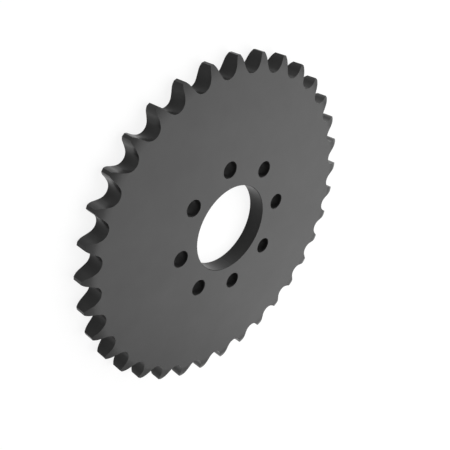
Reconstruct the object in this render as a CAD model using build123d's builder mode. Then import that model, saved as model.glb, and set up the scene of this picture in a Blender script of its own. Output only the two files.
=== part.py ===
from build123d import *
from math import asin, cos, degrees, pi, radians, sin
import os

# Plate sprocket for a single roller chain, cut from one steel plate.
# The plate lies flat, with the bore's axis along +Z and the back face at z = 0.

# The chain that the sprocket drives, and the room that a roller has in its seat
chain_pitch = 31.75
roller_diameter = 19.05
seat_clearance = 0.076

# The plate and its teeth
plate_thickness = 18.6
tooth_count = 34
tip_height = 8.55

# The relief turned off both faces, so that the teeth are narrow at their tips
relief_at_tip = 3.64
relief_depth = 14.4

# The bore and the ring of bolt holes, with their sharp edges broken
bore_diameter = 96.0
bore_edge_break = 0.4
bolt_circle_diameter = 140.0
bolt_hole_diameter = 17.5
bolt_hole_count = 8
bolt_hole_edge_break = 0.4

# Where the first tooth gap lies, in degrees past the first bolt hole
gap_offset = -0.26

# The tip circle stands above the pitch circle, where the rollers' centres run
pitch_radius = chain_pitch / (2 * sin(pi / tooth_count))
tip_radius = pitch_radius + tip_height

# The standard tooth form: a seat for the roller, a working curve that turns a little
# further, a short straight flank and a topping curve that rounds over to the tip
seat_radius = 0.5025 * roller_diameter + seat_clearance / 2
seat_angle = 35 + 60 / tooth_count
working_radius = 1.3025 * roller_diameter + seat_clearance / 2
working_angle = 18 - 56 / tooth_count
topping_angle = 17 - 64 / tooth_count
flank_length = roller_diameter * (
    1.4 * sin(radians(topping_angle)) - 0.8 * sin(radians(working_angle))
)
topping_radius = (
    roller_diameter
    * (0.8 * cos(radians(working_angle)) + 1.4 * cos(radians(topping_angle)) - 1.3025)
    - seat_clearance / 2
)
# The flank leans away from the radial line by this much where the topping curve starts
flank_lean = seat_angle - working_angle

# Each relief is an arc that leaves its face without a corner
relief_radius = (relief_at_tip**2 + relief_depth**2) / (2 * relief_at_tip)
relief_angle = degrees(asin(relief_depth / relief_radius))

# One tooth gap, with the roller's centre at the origin and +X pointing out of the gap.
# Half of it is drawn from the bottom of the seat, and the other half is its mirror image.
with BuildSketch() as gap:
    with BuildLine():
        seat = JernArc((-seat_radius, 0), (0, 1), seat_radius, seat_angle - 90)
        working = JernArc(seat @ 1, seat % 1, working_radius, -working_angle)
        flank = Line(working @ 1, working @ 1 + flank_length * (working % 1))
        topping = JernArc(flank @ 1, flank % 1, topping_radius, 90 - flank_lean)
        gap_top = topping @ 1 + Vector(2 * tip_height, 0)
        Polyline(topping @ 1, gap_top, (gap_top.X, 0))
        mirror(about=Plane.XZ)
    make_face()

with BuildPart() as sprocket:
    # The turned blank, with the relief on both faces
    with BuildSketch(Plane.XZ):
        with BuildLine():
            back_face = Line((0, 0), (tip_radius - relief_depth, 0))
            back_relief = JernArc(back_face @ 1, (1, 0), relief_radius, relief_angle)
            front_face = Line((0, plate_thickness), (tip_radius - relief_depth, plate_thickness))
            front_relief = JernArc(front_face @ 1, (1, 0), relief_radius, -relief_angle)
            Line(back_relief @ 1, front_relief @ 1)
            Line(back_face @ 0, front_face @ 0)
        make_face()
    revolve(axis=Axis.Z)

    # The bore
    Hole(bore_diameter / 2)
    chamfer(sprocket.edges(Select.LAST).filter_by(GeomType.CIRCLE), bore_edge_break)

    # The bolt holes
    with PolarLocations(bolt_circle_diameter / 2, bolt_hole_count):
        Hole(bolt_hole_diameter / 2)
    chamfer(sprocket.edges(Select.LAST).filter_by(GeomType.CIRCLE), bolt_hole_edge_break)

    # The tooth gaps, cut right through the blank
    with BuildSketch():
        Circle(tip_radius + tip_height)
        with PolarLocations(pitch_radius, tooth_count, start_angle=gap_offset):
            add(gap.sketch, mode=Mode.SUBTRACT)
    extrude(amount=plate_thickness, mode=Mode.INTERSECT)

os.makedirs("parts", exist_ok=True)
sprocket.part.label = "sprocket"
export_step(sprocket.part, "parts/sprocket.step")
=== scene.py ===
from math import cos, pi, radians, sin, tan
import bpy
from mathutils import Matrix, Vector


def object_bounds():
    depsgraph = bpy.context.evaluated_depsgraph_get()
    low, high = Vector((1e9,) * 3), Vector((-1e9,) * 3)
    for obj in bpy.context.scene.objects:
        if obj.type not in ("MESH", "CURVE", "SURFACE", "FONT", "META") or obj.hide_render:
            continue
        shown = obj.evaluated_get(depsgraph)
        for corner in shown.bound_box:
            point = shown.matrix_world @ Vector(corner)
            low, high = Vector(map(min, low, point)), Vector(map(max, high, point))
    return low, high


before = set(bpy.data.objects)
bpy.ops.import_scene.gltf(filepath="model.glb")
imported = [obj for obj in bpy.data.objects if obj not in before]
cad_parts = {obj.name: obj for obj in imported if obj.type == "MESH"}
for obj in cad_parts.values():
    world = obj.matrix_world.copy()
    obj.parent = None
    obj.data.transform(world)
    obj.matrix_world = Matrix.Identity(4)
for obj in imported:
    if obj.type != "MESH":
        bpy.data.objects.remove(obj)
cad_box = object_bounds()
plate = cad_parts["sprocket"]
centre = (cad_box[0] + cad_box[1]) / 2


def direction(azimuth, elevation):
    """The unit vector from the plate towards something, azimuth from +X and elevation from the face."""
    a = radians(azimuth)
    e = radians(elevation)
    return Vector((cos(a) * cos(e), sin(a) * cos(e), sin(e)))


def aim(position, back, roll):
    """The matrix of a thing at the position that looks along -back, rolled about that line."""
    side = Vector((0, 0, 1)).cross(back).normalized()
    rise = back.cross(side)
    r = radians(roll)
    right = cos(r) * side + sin(r) * rise
    up = cos(r) * rise - sin(r) * side
    return Matrix.Translation(position) @ Matrix((right, up, back)).transposed().to_4x4()


# The camera looks at the lying plate from the side that the photograph shows. Angles are in degrees,
# the lens and the sensor in millimetres, and all other lengths in this script in metres
CAMERA_AZIMUTH = 44.26
CAMERA_ELEVATION = 35.61
CAMERA_ROLL = 119.40
CAMERA_DISTANCE = 0.6567
CAMERA_LENS = 50.32
CAMERA_SENSOR = 36
CAMERA_NEAREST = 0.01

camera = bpy.data.objects.new("camera", bpy.data.cameras.new("camera"))
camera.data.lens = CAMERA_LENS
camera.data.sensor_width = CAMERA_SENSOR
camera.data.clip_start = CAMERA_NEAREST
back = direction(CAMERA_AZIMUTH, CAMERA_ELEVATION)
camera.matrix_world = aim(centre + CAMERA_DISTANCE * back, back, CAMERA_ROLL)
bpy.context.scene.collection.objects.link(camera)
bpy.context.scene.camera = camera

# The softboxes. Each has its azimuth, its lowest and highest elevation and its width, in degrees as the
# plate sees them, and its radiance
SOFTBOXES = {
    "sheen": (-98, 26, 80, 87, 1.95),
    "rim": (-52, 3, 30, 40, 2.6),
    "fill": (187, 42, 88, 92, 0.78),
}
LAMP_DISTANCE = 4.0

for name, (azimuth, low, high, width, radiance) in SOFTBOXES.items():
    lamp = bpy.data.lights.new(name, "AREA")
    lamp.shape = "RECTANGLE"
    lamp.size = 2 * LAMP_DISTANCE * tan(radians(width / 2))
    lamp.size_y = 2 * LAMP_DISTANCE * tan(radians((high - low) / 2))
    lamp.energy = radiance * pi * lamp.size * lamp.size_y
    box = bpy.data.objects.new(name, lamp)
    toward = direction(azimuth, (low + high) / 2)
    box.matrix_world = aim(centre + LAMP_DISTANCE * toward, toward, 0)
    box.visible_camera = False
    bpy.context.scene.collection.objects.link(box)


def add_node(tree, kind, inputs=(), **settings):
    """A new shader node with these settings, and each input set to a value or linked to an output."""
    node = tree.nodes.new("ShaderNode" + kind)
    for name, value in settings.items():
        setattr(node, name, value)
    for name, value in dict(inputs).items():
        if isinstance(value, bpy.types.NodeSocket):
            tree.links.new(value, node.inputs[name])
        else:
            node.inputs[name].default_value = value
    return node


def calculate(tree, operation, *values):
    """The result of a math node."""
    return add_node(tree, "Math", dict(enumerate(values)), operation=operation).outputs[0]


def remap(tree, value, low, high, start=0, end=1):
    """What goes from low to high, and no further, as the value goes from start to end."""
    inputs = {"Value": value, "From Min": start, "From Max": end, "To Min": low, "To Max": high}
    return add_node(tree, "MapRange", inputs).outputs["Result"]


def background_ray(tree):
    """What is 1 for the rays that see the background: camera, glossy and transmission rays."""
    rays = add_node(tree, "LightPath").outputs
    mirrored = calculate(tree, "MAXIMUM", rays["Is Glossy Ray"], rays["Is Transmission Ray"])
    return calculate(tree, "MAXIMUM", rays["Is Camera Ray"], mirrored)


def grey(level):
    """A colour without hue."""
    return (level, level, level, 1)


# The world is pale where it is seen, and gives only a little light
WORLD_SEEN = 0.6
WORLD_LIGHT = 0.03

world = bpy.data.worlds.new("studio")
bpy.context.scene.world = world
world.use_nodes = True
tree = world.node_tree
strength = remap(tree, background_ray(tree), WORLD_LIGHT, WORLD_SEEN)
tree.links.new(strength, tree.nodes["Background"].inputs["Strength"])
tree.nodes["Background"].inputs["Color"].default_value = grey(1)

# The pale floor lies just under the plate. Where it is seen it is nearly white by itself, so its
# shadows are light, and its glow, given at distances from the plate's axis, fades into the world
FLOOR_SIZE = 40
FLOOR_DROP = 0.0002
FLOOR_COLOUR = 0.5
FLOOR_SEEN_COLOUR = 0.17
FLOOR_GLOW = ((0.3, 0.87), (1.2, 1.0), (2.2, 1.0), (8.0, WORLD_SEEN))

half = FLOOR_SIZE / 2
corners = [(-half, -half, 0), (half, -half, 0), (half, half, 0), (-half, half, 0)]
floor_mesh = bpy.data.meshes.new("floor")
floor_mesh.from_pydata(corners, [], [(0, 1, 2, 3)])
floor = bpy.data.objects.new("floor", floor_mesh)
floor.location.z = -FLOOR_DROP
bpy.context.scene.collection.objects.link(floor)

paper = bpy.data.materials.new("paper")
paper.use_nodes = True
floor_mesh.materials.append(paper)
tree = paper.node_tree
tree.nodes.remove(tree.nodes["Principled BSDF"])
floor_point = add_node(tree, "NewGeometry").outputs["Position"]
distance = add_node(tree, "VectorMath", {0: floor_point}, operation="LENGTH").outputs["Value"]
reach = FLOOR_GLOW[-1][0]
fade = add_node(tree, "ValToRGB", {"Fac": calculate(tree, "DIVIDE", distance, reach)})
stops = fade.color_ramp.elements
for away, _ in FLOOR_GLOW[1:-1]:
    stops.new(away / reach)
for stop, (away, brightness) in zip(stops, FLOOR_GLOW):
    stop.position = away / reach
    stop.color = grey(brightness)
glow = add_node(tree, "Emission", {"Color": fade.outputs["Color"]}).outputs[0]
shaded = add_node(tree, "BsdfDiffuse", {"Color": grey(FLOOR_SEEN_COLOUR)}).outputs[0]
seen = add_node(tree, "AddShader", {0: shaded, 1: glow}).outputs[0]
lit = add_node(tree, "BsdfDiffuse", {"Color": grey(FLOOR_COLOUR)}).outputs[0]
either = add_node(tree, "MixShader", {0: background_ray(tree), 1: lit, 2: seen}).outputs[0]
tree.links.new(either, tree.nodes["Material Output"].inputs["Surface"])

# The blackened steel: faint clouds in its colour, smudges in its gloss, a fine grain, turning marks
# where the plate is turned, on the relief round its rim and in the bore, and painted shade on broken
# edges
STEEL_COLOUR = 0.042
STEEL_COLOUR_SPREAD = 0.009
# The near-black colour painted on the broken edges, as painted shade
STEEL_PAINTED_SHADE_EDGE_COLOUR = 0.006
STEEL_ROUGHNESS = 0.3
STEEL_ROUGHNESS_SPREAD = 0.025
STEEL_SPECULAR = 0.194
CLOUD_SIZE = 0.035
SMUDGE_SIZE = 0.006
GRAIN_SIZE = 0.0008
GRAIN_HEIGHT = 0.000015
TURNING_SIZE = 0.0006
TURNING_HEIGHT = 0.000025

# Where each mask turns over. The first two are shares of the normal along the axis, past which a
# surface is no longer a wall, and is a face. The others are radii, where relief begins and bore ends
WALL_END = (0.45, 0.5)
FACE_START = (0.85, 0.9)
RELIEF_START = (0.166, 0.167)
BORE_END = (0.0481, 0.0484)

steel = bpy.data.materials.new("black_oxide")
steel.use_nodes = True
tree = steel.node_tree
place = add_node(tree, "TexCoord").outputs


def noise(vector, size, detail):
    """Noise from 0 to 1 with bumps of the given size."""
    inputs = {"Vector": vector, "Scale": 1 / size, "Detail": detail}
    return add_node(tree, "TexNoise", inputs).outputs["Fac"]


def vary(middle, spread, cause):
    """The middle value, less or more by up to the spread as the cause goes from 0 to 1."""
    return remap(tree, cause, middle - spread, middle + spread)


# The turning marks run round the axis, so they depend on the distance from it and on the height alone
spot = add_node(tree, "SeparateXYZ", {0: place["Object"]}).outputs
across = add_node(tree, "CombineXYZ", {"X": spot["X"], "Y": spot["Y"]}).outputs["Vector"]
radius = add_node(tree, "VectorMath", {0: across}, operation="LENGTH").outputs["Value"]
rings = add_node(tree, "CombineXYZ", {"X": radius, "Y": spot["Z"]}).outputs["Vector"]

# Walls face sideways, faces and the relief face along the axis, and broken edges are halfway between
facing = calculate(tree, "ABSOLUTE", add_node(tree, "SeparateXYZ", {0: place["Normal"]}).outputs["Z"])
not_wall = remap(tree, facing, 0, 1, *WALL_END)
not_face = remap(tree, facing, 1, 0, *FACE_START)
# The mask of the broken edges, where painted shade darkens the colour
painted_shade_edges = calculate(tree, "MULTIPLY", not_wall, not_face)
past_face = remap(tree, radius, 0, 1, *RELIEF_START)
on_relief = calculate(tree, "MULTIPLY", not_wall, past_face)
in_bore = remap(tree, radius, 1, 0, *BORE_END)
turned = calculate(tree, "ADD", on_relief, in_bore)
marks = calculate(tree, "MULTIPLY", noise(rings, TURNING_SIZE, detail=2), turned)

clouds = noise(place["Object"], CLOUD_SIZE, detail=3)
oxide = vary(STEEL_COLOUR, STEEL_COLOUR_SPREAD, clouds)
# Painted shade: the colour of the broken edges goes down to a near-black colour
shade = remap(tree, painted_shade_edges, oxide, STEEL_PAINTED_SHADE_EDGE_COLOUR)
colour = add_node(tree, "CombineColor", {0: shade, 1: shade, 2: shade}).outputs["Color"]
smudges = noise(place["Object"], SMUDGE_SIZE, detail=3)
roughness = vary(STEEL_ROUGHNESS, STEEL_ROUGHNESS_SPREAD, smudges)
grains = noise(place["Object"], GRAIN_SIZE, detail=2)
grain = add_node(tree, "Bump", {"Height": grains, "Distance": GRAIN_HEIGHT}).outputs["Normal"]
inputs = {"Height": marks, "Distance": TURNING_HEIGHT, "Normal": grain}
surface = add_node(tree, "Bump", inputs).outputs["Normal"]

shader = tree.nodes["Principled BSDF"]
shader.inputs["Specular IOR Level"].default_value = STEEL_SPECULAR
tree.links.new(colour, shader.inputs["Base Color"])
tree.links.new(roughness, shader.inputs["Roughness"])
tree.links.new(surface, shader.inputs["Normal"])
plate.material_slots[0].material = steel

bpy.context.scene.view_settings.view_transform = "Standard"
